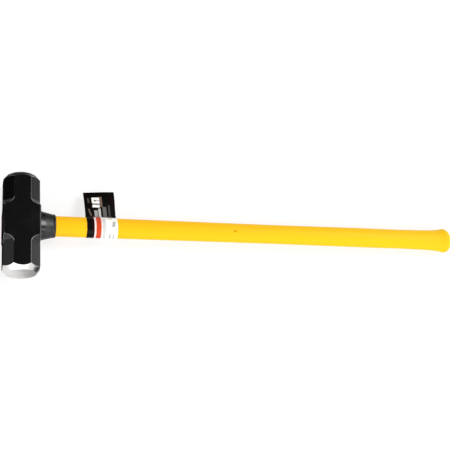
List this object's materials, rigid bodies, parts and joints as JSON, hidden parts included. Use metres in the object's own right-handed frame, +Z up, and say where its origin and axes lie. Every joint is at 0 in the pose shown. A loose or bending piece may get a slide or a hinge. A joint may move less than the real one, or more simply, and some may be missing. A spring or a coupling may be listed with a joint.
{
  "type": "sledgehammer",
  "caption": "Long-handled sledgehammer with a forged octagonal double-faced head, black collar, yellow jacketed fibreglass handle with a flared butt, and a folded card label.",
  "frame": {"origin": "centre of the lower cheek flat, on the surface that the hammer lies on, under the head's centre", "axes": "+X runs along the handle from the head to the butt, +Y along the head from one striking face to the other, +Z up from the side that the head lies on"},
  "size_m": [0.9141, 0.183, 0.0635],
  "materials": {
    "head_enamel": "satin",
    "ground_steel": "polished",
    "seal_rubber": "matte",
    "epoxy": "gloss",
    "fibreglass": "satin",
    "yellow_jacket": "satin",
    "black_collar": "gloss",
    "printed_card": "gloss",
    "label_glue": "matte"
  },
  "bodies": {
    "root": {"head": "head_enamel", "eye_seal": "seal_rubber", "eye_epoxy": "epoxy", "handle_core": "fibreglass", "handle_jacket": "yellow_jacket", "overstrike_collar": "black_collar", "label_card": "printed_card", "label_adhesive": "label_glue"}
  },
  "joints": []
}
